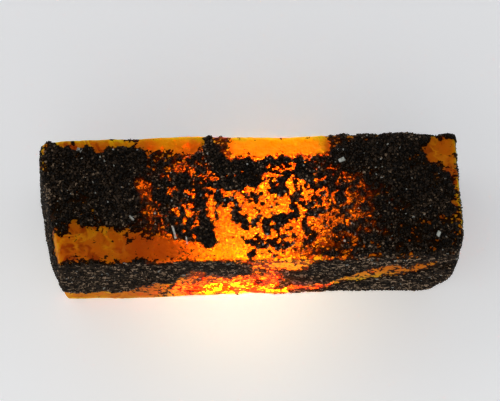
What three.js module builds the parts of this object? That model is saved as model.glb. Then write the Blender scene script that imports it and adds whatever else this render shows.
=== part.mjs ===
// Rough sapphire: one bar-shaped crystal of cloudy orange corundum, with flat parting faces, softly
// broken edges and a sugary black mica crust grown on it in ragged patches.
// Millimetres, +Z up. X runs along the crystal, the origin is under its middle, on the resting face.
import * as THREE from "three";
import { mergeVertices } from "three/addons/utils/BufferGeometryUtils.js";

// Driving dimensions, in millimetres. The box round the bare stone is measured without its crust.
const length = 74.6;
const width = 24.4;
const height = 18;
const crustThickness = 0.45;
const grainHeight = 0.28;
const edgeSoftness = 0.35;

// How the surface is sampled: squares of about this size, pushed out from a core this deep inside.
const gridStep = 1.25;
const coreDepth = 5.5;

// Where the main faces lie.
const topZ = height - 0.4;
const restingZ = -0.15;
const frontY = -12.4;
const backY = 12;
const leftX = -36.6;
const rightX = 38;

// The flat faces that bound the bare stone: a point on each, and the way it looks.
const faces = [
  { name: "top", through: [0, 0, topZ], facing: [0.004, 0, 1] },
  { name: "resting", through: [0, 0, restingZ], facing: [0, 0, -1] },
  { name: "front", through: [0, frontY, topZ / 2], facing: [0.0145, -1, 0] },
  { name: "back, left half", through: [2, backY, topZ], facing: [-0.026, 1, 0.06] },
  { name: "back, right half", through: [2, backY, topZ], facing: [0.016, 1, 0.06] },
  { name: "back foot", through: [0, backY + 0.4, 3.2], facing: [0, 0.8, -0.6] },
  { name: "left end, back", through: [leftX, 7, topZ], facing: [-1, 0, 0.08] },
  { name: "left end, upper", through: [leftX + 1.7, -1.85, topZ], facing: [-0.985, -0.185, 0.22] },
  { name: "left end, lower", through: [leftX + 0.2, -0.35, 7], facing: [-1, -0.17, -0.14] },
  { name: "left front edge", through: [leftX + 2.7, -11.8, 9], facing: [-0.86, -0.5, 0] },
  { name: "right end", through: [rightX, 0, topZ], facing: [1, 0, -0.03] },
  { name: "right front edge", through: [rightX - 1, -10.7, topZ], facing: [0.9, -0.44, -0.03] },
  { name: "right foot", through: [rightX - 2.2, -12.1, 4.6], facing: [0.8, -0.35, -0.42] },
  { name: "left back corner", through: [leftX + 0.4, 10.95, topZ], facing: [-0.62, 0.75, 0.1] },
  { name: "right back corner", through: [rightX - 0.2, 11.25, topZ], facing: [0.62, 0.7, 0.05] },
];

// Swells and hollows of the bare stone, each round a line: how far it reaches, and how high it stands.
const swells = [
  { name: "front ledge", from: [35, -12, 9], to: [6, -12, 4], reach: 4.5, rise: 0.35 },
  { name: "notch over the ledge", from: [38.3, -12, 13.2], to: [35.5, -12.6, 12.6], reach: 1.5, rise: -0.9 },
  { name: "chipped back rim", from: [-4, 12.2, 18], to: [15, 12.2, 18], reach: 2.6, rise: -0.15 },
  { name: "left scoop", from: [-31, -9, topZ], to: [-25, -8, topZ], reach: 4, rise: -0.3 },
  { name: "middle scoop", from: [-18, -10.5, topZ], to: [-6, -11, topZ], reach: 3, rise: -0.2 },
  { name: "corner scoop", from: [33, 10, topZ], to: [35, 6, topZ], reach: 3, rise: -0.35 },
  { name: "back hollow", from: [-20, 12.5, 8], to: [-6, 12.5, 11], reach: 5, rise: -0.5 },
  { name: "right end hollow", from: [37, 4, 8], to: [37, -3, 11], reach: 4, rise: -0.4 },
];

// Where the crust is missing or thin, each round a line. At bareness 1 the stone is bare, and at 0.5
// the crust is broken up into islands.
const bareStreaks = [
  { name: "left rim", from: [-33.2, 10.8, topZ], to: [-26, 10.6, topZ], reach: 1.25, bareness: 1.1 },
  { name: "rim behind left", from: [-26, 11, topZ], to: [-20, 11, topZ], reach: 0.9, bareness: 1.05 },
  { name: "back rim window", from: [-17.8, 10.3, topZ], to: [-9, 10.6, topZ], reach: 2, bareness: 1.1 },
  { name: "left window, lobe", from: [-17.2, 9, topZ], to: [-15.8, 8, topZ], reach: 1.3, bareness: 0.9 },
  { name: "left window, foot", from: [-13.8, 9.3, topZ], to: [-11, 9.3, topZ], reach: 1.6, bareness: 1 },
  { name: "back rim, specks", from: [-4.3, 11, topZ], to: [-1, 10.6, topZ], reach: 1.3, bareness: 0.85 },
  { name: "rim lobe", from: [-2, 9, topZ], to: [0, 9.3, topZ], reach: 1.6, bareness: 1 },
  { name: "rim behind", from: [-0.5, 9.7, topZ], to: [2.5, 9.6, topZ], reach: 2.4, bareness: 1.1 },
  { name: "rim behind right", from: [2.5, 10.2, topZ], to: [13.2, 10.2, topZ], reach: 2.4, bareness: 1.1 },
  { name: "back rim, right", from: [15.5, 11.4, topZ], to: [19, 11.5, topZ], reach: 0.85, bareness: 1 },
  { name: "left corner", from: [-36.6, 10.2, topZ], to: [-36.5, 8.4, topZ], reach: 1, bareness: 1.05 },
  { name: "right corner", from: [34.2, 9.6, topZ], to: [36.2, 9.2, topZ], reach: 2.1, bareness: 1.1 },
  { name: "right corner, lobe", from: [34.6, 7.2, topZ], to: [36.6, 6.4, topZ], reach: 1.6, bareness: 1.1 },
  { name: "right rim, back", from: [36.4, 5.2, topZ], to: [37.6, 3.5, topZ], reach: 1, bareness: 1 },
  { name: "right rim, middle", from: [38, 5, topZ], to: [38, -2, topZ], reach: 1.2, bareness: 1 },
  { name: "right rim, front", from: [37.8, -2, topZ], to: [37.6, -6, topZ], reach: 1.1, bareness: 0.95 },
  { name: "left peak", from: [-29.3, -4.5, topZ], to: [-29.3, -5.5, topZ], reach: 0.8, bareness: 1 },
  { name: "left shoulder", from: [-29.8, -6.2, topZ], to: [-26.6, -6.9, topZ], reach: 1.3, bareness: 1.1 },
  { name: "left wide", from: [-33, -9.8, topZ], to: [-23, -9.6, topZ], reach: 3, bareness: 1.1 },
  { name: "left edge", from: [-25.5, -7.6, topZ], to: [-23, -7.6, topZ], reach: 1.5, bareness: 1 },
  { name: "left lobe", from: [-22, -8.2, topZ], to: [-19, -7.8, topZ], reach: 1.6, bareness: 1 },
  { name: "left middle", from: [-22, -10.2, topZ], to: [-14, -10.2, topZ], reach: 2.4, bareness: 1.05 },
  { name: "left knee", from: [-16.5, -8.3, topZ], to: [-14, -8.5, topZ], reach: 1.4, bareness: 1 },
  { name: "left tail", from: [-13.5, -10.2, topZ], to: [-8.5, -10.7, topZ], reach: 1.5, bareness: 1 },
  { name: "front rim, left", from: [-8, -10.9, topZ], to: [-1.5, -11, topZ], reach: 1.6, bareness: 1 },
  { name: "left flame", from: [-18.9, 2.8, topZ], to: [-17.2, -0.3, topZ], reach: 1, bareness: 0.95 },
  { name: "left embers", from: [-19.5, -5.6, topZ], to: [-14.5, -6, topZ], reach: 1.2, bareness: 0.48 },
  { name: "heart, far left", from: [-6.8, -1.2, topZ], to: [-6.2, -3.6, topZ], reach: 0.9, bareness: 0.9 },
  { name: "heart, left", from: [-4.4, -2.8, topZ], to: [-3.6, -4.4, topZ], reach: 1.2, bareness: 1 },
  { name: "heart, left stem", from: [-3.5, -4.8, topZ], to: [-3.3, -6, topZ], reach: 1.1, bareness: 1 },
  { name: "heart, left foot", from: [-3.2, -6, topZ], to: [-1.8, -7, topZ], reach: 1.1, bareness: 0.95 },
  { name: "speckled foot", from: [-3.8, -7.2, topZ], to: [-0.4, -9.2, topZ], reach: 2.3, bareness: 0.72 },
  { name: "heart, crown", from: [-2.9, -0.2, topZ], to: [-1.6, -1.1, topZ], reach: 0.9, bareness: 1 },
  { name: "heart, core", from: [-1, -3.1, topZ], to: [0.6, -2.8, topZ], reach: 0.8, bareness: 1 },
  { name: "heart, middle", from: [0.8, -1.4, topZ], to: [7, -1.6, topZ], reach: 1.6, bareness: 0.74 },
  { name: "heart, below", from: [0.6, -3.4, topZ], to: [3.2, -3.6, topZ], reach: 0.9, bareness: 0.95 },
  { name: "heart, right arm", from: [4.4, -3.2, topZ], to: [6.6, -3.7, topZ], reach: 0.9, bareness: 0.95 },
  { name: "heart, right edge", from: [6.6, -1.2, topZ], to: [7.6, -3, topZ], reach: 0.8, bareness: 0.9 },
  { name: "heart, spur", from: [7.5, 1.9, topZ], to: [8.6, 0.7, topZ], reach: 0.95, bareness: 1.05 },
  { name: "heart, front", from: [0.6, -7.2, topZ], to: [2.2, -6.9, topZ], reach: 0.8, bareness: 1 },
  { name: "heart, front right", from: [8.2, -5.8, topZ], to: [9.2, -7.6, topZ], reach: 0.9, bareness: 0.78 },
  { name: "right gap, upper", from: [11, -5.8, topZ], to: [12.8, -5.6, topZ], reach: 0.9, bareness: 1 },
  { name: "right gap, lower", from: [11.6, -6.8, topZ], to: [13.6, -7, topZ], reach: 0.8, bareness: 0.95 },
  { name: "front rim, middle", from: [1, -12.4, topZ], to: [10, -12.3, topZ], reach: 0.9, bareness: 0.9 },
  { name: "under the rim", from: [5.6, -12.3, 14.5], to: [9.4, -12.3, 14], reach: 2, bareness: 1.1 },
  { name: "front face, rim chip", from: [9, -12.3, 16.4], to: [10, -12.3, 16.5], reach: 1.2, bareness: 1 },
  { name: "front face, rim stem", from: [1.5, -12.4, 10], to: [1.8, -12.4, 16], reach: 1.3, bareness: 0.8 },
  { name: "front face, rim lobe", from: [4, -12.3, 16.8], to: [2, -12.4, 17], reach: 1, bareness: 0.9 },
  { name: "front face, crossing", from: [4.2, -12.3, 12], to: [6.2, -12.3, 8.6], reach: 0.9, bareness: 0.9 },
  { name: "front foot, left", from: [-33.2, -12.9, 1.6], to: [-20, -12.7, 2], reach: 2, bareness: 1.05 },
  { name: "front foot, rise", from: [-17.8, -12.7, 3.4], to: [-15.8, -12.6, 6.4], reach: 2, bareness: 0.95 },
  { name: "first flame", from: [-12.8, -12.6, 3.5], to: [-11.4, -12.6, 8.5], reach: 1.9, bareness: 0.95 },
  { name: "second flame", from: [-9.4, -12.5, 5], to: [-9, -12.5, 12], reach: 1.7, bareness: 0.9 },
  { name: "third flame", from: [-6.5, -12.5, 4.6], to: [-5.5, -12.5, 8.6], reach: 2.5, bareness: 0.84 },
  { name: "fourth flame", from: [-1.8, -12.4, 4.6], to: [-1.2, -12.4, 8], reach: 2.4, bareness: 0.84 },
  { name: "fifth flame", from: [3, -12.4, 4.8], to: [4.5, -12.3, 10], reach: 2.1, bareness: 0.84 },
  { name: "front foot, middle", from: [-14, -12.5, 1.4], to: [6, -12.3, 1.6], reach: 1.6, bareness: 0.74 },
  { name: "right spark", from: [10.5, -12.3, 5.2], to: [13.4, -12.2, 5], reach: 0.8, bareness: 0.85 },
  { name: "front slant, low", from: [15.7, -12.2, 6.4], to: [20.5, -12.1, 8.9], reach: 1, bareness: 1 },
  { name: "front slant, middle", from: [20.5, -12.1, 9.4], to: [27, -12, 11], reach: 1.4, bareness: 0.95 },
  { name: "front slant, high", from: [26, -12, 10.6], to: [32.5, -11.9, 13], reach: 1.1, bareness: 0.8 },
  { name: "back face, left", from: [-30, 12.5, 8], to: [-14, 12.5, 11], reach: 5, bareness: 0.9 },
  { name: "back face, right", from: [4, 12.5, 6], to: [22, 12.5, 12], reach: 4.4, bareness: 0.7 },
  { name: "below left rim", from: [-34, 11.7, 16.6], to: [-8, 12.3, 16.6], reach: 1.6, bareness: 1 },
  { name: "below back rim", from: [-4, 12.4, 16.4], to: [14, 12.4, 16.4], reach: 1.8, bareness: 1 },
  { name: "right end", from: [37.9, 6, 9], to: [37.9, -4, 6], reach: 4.6, bareness: 0.85 },
  { name: "left end", from: [-37.3, 5, 5], to: [-37.3, -3, 10], reach: 2, bareness: 0.5 },
  { name: "underside, middle", from: [-5, 0, 0], to: [10, 0.6, 0], reach: 13, bareness: 1.1 },
  { name: "underside, left", from: [-28, 3, 0], to: [-18, -5, 0], reach: 3.6, bareness: 0.8 },
];

// Where the crust is thickest, each round a line.
const thickStreaks = [
  { name: "upper left band", from: [-33, -12.9, 14.2], to: [-15, -12.6, 14], reach: 3.1, extra: 1 },
  { name: "lower left band", from: [-32, -12.9, 9], to: [-21, -12.7, 8.6], reach: 3, extra: 1 },
  { name: "front band, thin", from: [-12, -12.6, 15], to: [-1, -12.4, 14.6], reach: 1.7, extra: 0.9 },
  { name: "front right, lower", from: [20, -12.1, 3.5], to: [33, -11.9, 5.5], reach: 3, extra: 0.6 },
  { name: "back rim saddle", from: [-6.2, 12, topZ], to: [-5.8, 7, topZ], reach: 1, extra: 0.9 },
  { name: "lone spot", from: [-21, -8.5, topZ], to: [-20.3, -8.9, topZ], reach: 0.7, extra: 1.2 },
  { name: "left of the heart", from: [-7.6, -7, topZ], to: [-6, -6.6, topZ], reach: 1.3, extra: 0.8 },
  { name: "heart spot, front", from: [3.2, -5.6, topZ], to: [5, -6.4, topZ], reach: 0.8, extra: 0.5 },
  { name: "upper left patch", from: [-12, 3.6, topZ], to: [-10, 3, topZ], reach: 1.2, extra: 0.5 },
  { name: "front rim spot", from: [-12.4, -12.4, topZ], to: [-9.8, -12.3, topZ], reach: 0.7, extra: 0.8 },
];
const crustCover = 1;
const crustEdge = 0.12;

// Broken relief of the crust and the stone: the size of each pattern, its strength and its seed.
const raggedness = { size: 3.6, layers: 3, strength: 0.18, seed: 11 };
const bend = { size: 2.2, layers: 3, strength: 0.7, seeds: [71, 81, 91] };
const undulation = { size: 15, layers: 2, strength: 0.28, seed: 23 };
const hackle = { size: 3.4, layers: 2, strength: 0.1, seed: 37 };
const grains = { size: 0.9, layers: 1, strength: 1, seed: 53 };
const layerFalloff = 0.7;

const hashPrimes = [0x9e3779b1, 0x85ebca77, 0xc2b2ae3d, 0x27d4eb2f];

// A fixed random number from 0 to 1 for a corner of a cubic lattice.
function cornerValue(i, j, k, seed) {
  let h = Math.imul(i, hashPrimes[0]) ^ Math.imul(j, hashPrimes[1]) ^ Math.imul(k, hashPrimes[2]);
  h ^= Math.imul(seed, hashPrimes[3]);
  h ^= h >>> 15;
  h = Math.imul(h, 0x85ebca6b);
  h ^= h >>> 13;
  h = Math.imul(h, 0xc2b2ae35);
  h ^= h >>> 16;
  return (h >>> 0) / 4294967296;
}

// Smooth noise from -1 to 1, blended between the corners of the lattice cell that holds the point.
function smoothNoise(x, y, z, seed) {
  const cell = [x, y, z].map(Math.floor);
  const part = [x - cell[0], y - cell[1], z - cell[2]].map((t) => t * t * (3 - 2 * t));
  let sum = 0;
  for (let corner = 0; corner < 8; corner++) {
    const step = [corner & 1, (corner >> 1) & 1, corner >> 2];
    const weight = step.reduce((w, s, axis) => w * (s ? part[axis] : 1 - part[axis]), 1);
    sum += weight * cornerValue(cell[0] + step[0], cell[1] + step[1], cell[2] + step[2], seed);
  }
  return 2 * sum - 1;
}

// Layers of smooth noise, each half the size of the one before and somewhat weaker.
function layeredNoise(p, { size, layers, strength, seed }) {
  let sum = 0;
  for (let layer = 0; layer < layers; layer++) {
    const scale = 2 ** layer / size;
    const value = smoothNoise(p.x * scale, p.y * scale, p.z * scale, seed + layer);
    sum += strength * layerFalloff ** layer * value;
  }
  return sum;
}

function smoothStep(low, high, value) {
  const t = THREE.MathUtils.clamp((value - low) / (high - low), 0, 1);
  return t * t * (3 - 2 * t);
}

// How much a point lies within reach of a line: 1 on the line, falling smoothly to 0 past its reach.
function nearness(p, { from, to, reach }) {
  const line = new THREE.Line3(new THREE.Vector3(...from), new THREE.Vector3(...to));
  const distance = line.closestPointToPoint(p, true, new THREE.Vector3()).distanceTo(p);
  return 1 - smoothStep(0.55 * reach, 1.35 * reach, distance);
}

// Runs out from the core through a point of the box until the flat faces are met. The smooth minimum
// over the faces softens the edges where two of them meet.
function meetFaces(boxPoint) {
  const middle = new THREE.Vector3(0, 0, height / 2);
  const half = new THREE.Vector3(length, width, height).divideScalar(2).subScalar(coreDepth);
  const start = boxPoint.clone().sub(middle).clamp(half.clone().negate(), half).add(middle);
  const outward = boxPoint.clone().sub(start).normalize();
  const runs = [];
  for (const { through, facing } of faces) {
    const normal = new THREE.Vector3(...facing).normalize();
    const slope = outward.dot(normal);
    if (slope > 1e-3) runs.push(new THREE.Vector3(...through).sub(start).dot(normal) / slope);
  }
  const shortest = Math.min(...runs);
  const blend = runs.reduce((sum, run) => sum + Math.exp((shortest - run) / edgeSoftness), 0);
  const run = shortest - edgeSoftness * Math.log(blend);
  return { at: start.addScaledVector(outward, run), outward };
}

// How fully the crust covers a point: 0 on bare stone, 1 under a full crust. The streaks are bent out of
// line by noise, a different one along each axis.
function crustAt(p) {
  const shift = bend.seeds.map((seed) => layeredNoise(p, { ...bend, seed }));
  const bent = new THREE.Vector3(...shift).add(p);
  const bare = Math.max(...bareStreaks.map((streak) => streak.bareness * nearness(bent, streak)));
  const thick = Math.max(...thickStreaks.map((streak) => streak.extra * nearness(bent, streak)));
  const cover = crustCover + layeredNoise(p, raggedness) - bare + thick;
  return smoothStep(0.5 - crustEdge, 0.5 + crustEdge, cover);
}

// The height of the finished surface above the flat faces.
function reliefAt(p) {
  const crust = crustAt(p);
  let relief = layeredNoise(p, undulation) + (1 - crust) * layeredNoise(p, hackle);
  for (const swell of swells) relief += swell.rise * nearness(p, swell);
  return relief + crust * (crustThickness + grainHeight * (layeredNoise(p, grains) - 0.5));
}

// The stone's surface: the six sides of a segmented box, each point moved out to the faces and relief.
// Nothing reaches below the resting plane, so the crust under the stone is worn flat there.
function stoneGeometry() {
  const segments = [length, width, height].map((size) => Math.round(size / gridStep));
  const box = new THREE.BoxGeometry(length, width, height, ...segments);
  box.translate(0, 0, height / 2);
  box.deleteAttribute("normal");
  box.deleteAttribute("uv");
  const geometry = mergeVertices(box, 1e-3);
  const places = geometry.getAttribute("position");
  const point = new THREE.Vector3();
  for (let i = 0; i < places.count; i++) {
    const { at, outward } = meetFaces(point.fromBufferAttribute(places, i));
    at.addScaledVector(outward, reliefAt(at));
    places.setXYZ(i, at.x, at.y, Math.max(at.z, 0));
  }
  geometry.computeVertexNormals();
  return geometry;
}

function sapphireMaterial() {
  return new THREE.MeshStandardMaterial({ color: 0xc05a0c, roughness: 0.5, metalness: 0 });
}

const sapphire = new THREE.Mesh(stoneGeometry(), sapphireMaterial());
sapphire.name = "sapphire";

const stone = new THREE.Group();
stone.add(sapphire);

export default stone;
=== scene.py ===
import math
import bpy
import numpy as np
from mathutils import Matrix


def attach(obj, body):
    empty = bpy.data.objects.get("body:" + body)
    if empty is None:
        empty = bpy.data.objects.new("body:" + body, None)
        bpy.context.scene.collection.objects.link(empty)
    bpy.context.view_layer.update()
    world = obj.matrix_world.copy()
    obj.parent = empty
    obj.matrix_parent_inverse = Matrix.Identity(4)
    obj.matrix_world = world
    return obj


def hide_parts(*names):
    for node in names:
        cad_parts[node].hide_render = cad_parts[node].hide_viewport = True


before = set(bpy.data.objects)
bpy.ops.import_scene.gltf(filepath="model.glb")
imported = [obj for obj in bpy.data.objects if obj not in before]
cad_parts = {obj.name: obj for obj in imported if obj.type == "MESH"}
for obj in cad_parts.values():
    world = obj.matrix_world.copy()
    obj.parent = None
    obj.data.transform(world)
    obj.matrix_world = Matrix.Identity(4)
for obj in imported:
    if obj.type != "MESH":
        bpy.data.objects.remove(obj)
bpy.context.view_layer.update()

# A rough sapphire bar over a torch. Shapes are worked out in millimetres in the part's own frame,
# and toMetres turns them into Blender's metres.
toMetres = 0.001


# camera

cameraView = dict(elevation=66.5, azimuth=-1.1, distance=300, target=(0.7, 2.65, 9), lens=118.15)


def addCamera(view):
    # place = target + distance * (sin a cos e, -cos a cos e, sin e)
    e, a = math.radians(view["elevation"]), math.radians(view["azimuth"])
    back = np.array([math.sin(a) * math.cos(e), -math.cos(a) * math.cos(e), math.sin(e)])
    place = (np.array(view["target"]) + view["distance"] * back) * toMetres
    data = bpy.data.cameras.new("camera")
    data.lens = view["lens"]
    data.sensor_width = 36
    data.clip_start = 0.01
    data.clip_end = 10
    camera = bpy.data.objects.new("camera", data)
    camera.location = place
    camera.rotation_euler = (math.radians(90) - e, 0, a)
    bpy.context.collection.objects.link(camera)
    bpy.context.scene.camera = camera
    print("camera at", np.round(place, 4))


addCamera(cameraView)


# the stone's form: the box that is sampled, where the flat faces lie, and noises as size, layers, strength
# and seed

stoneForm = dict(
    box=(74.6, 24.4, 18), coreDepth=5.5, edgeSoftness=0.35,
    topZ=17.6, frontY=-12.4, backY=12, leftX=-36.6, rightX=38, restingZ=0.12,
    undulation=(15, 2, 0.28, 23), hackle=(3.4, 4, 0.1, 37), layerFalloff=0.7)

frontSlope = 0.0145  # how much the front face's y grows along x


def flatFaces(form):
    # a point on each flat face, and the way the face looks
    top, front, back = form["topZ"], form["frontY"], form["backY"]
    left, right = form["leftX"], form["rightX"]
    return [
        ((0, 0, top), (0.004, 0, 1)),  # top
        ((0, 0, form["restingZ"]), (0, 0, -1)),  # resting face
        ((0, front, top / 2), (frontSlope, -1, 0)),  # front
        ((2, back, top), (-0.026, 1, 0.06)),  # back, left half
        ((2, back, top), (0.016, 1, 0.06)),  # back, right half
        ((0, back + 0.4, 3.2), (0, 0.8, -0.6)),  # back foot
        ((left, 7, top), (-1, 0, 0.08)),  # left end, back
        ((left + 1.7, -1.85, top), (-0.985, -0.185, 0.22)),  # left end, upper
        ((left + 0.2, -0.35, 7), (-1, -0.17, -0.14)),  # left end, lower
        ((left + 2.7, -11.8, 9), (-0.86, -0.5, 0)),  # left front edge
        ((right, 0, top), (1, 0, -0.03)),  # right end
        ((right - 1, -10.7, top), (0.9, -0.44, -0.03)),  # right front edge
        ((right - 2.2, -12.1, 4.6), (0.8, -0.35, -0.42)),  # right foot
        ((left + 0.4, 10.95, top), (-0.62, 0.75, 0.1)),  # left back corner
        ((right - 0.2, 11.25, top), (0.62, 0.7, 0.05)),  # right back corner
    ]


# swells and hollows of the bare stone: a line, how far it reaches, and how high it stands
swells = [
    ((35, -12, 9), (6, -12, 4), 4.5, 0.35),  # front ledge
    ((38.3, -12, 13.2), (35.5, -12.6, 12.6), 1.5, -0.9),  # notch over the ledge
    ((-4, 12.2, 18), (15, 12.2, 18), 2.6, -0.15),  # chipped back rim
    ((-31, -9, 17.6), (-25, -8, 17.6), 4, -0.3),  # left scoop
    ((-18, -10.5, 17.6), (-6, -11, 17.6), 3, -0.2),  # middle scoop
    ((33, 10, 17.6), (35, 6, 17.6), 3, -0.35),  # corner scoop
    ((-20, 12.5, 8), (-6, 12.5, 11), 5, -0.5),  # back hollow
    ((37, 4, 8), (37, -3, 11), 4, -0.4),  # right end hollow
]

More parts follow.
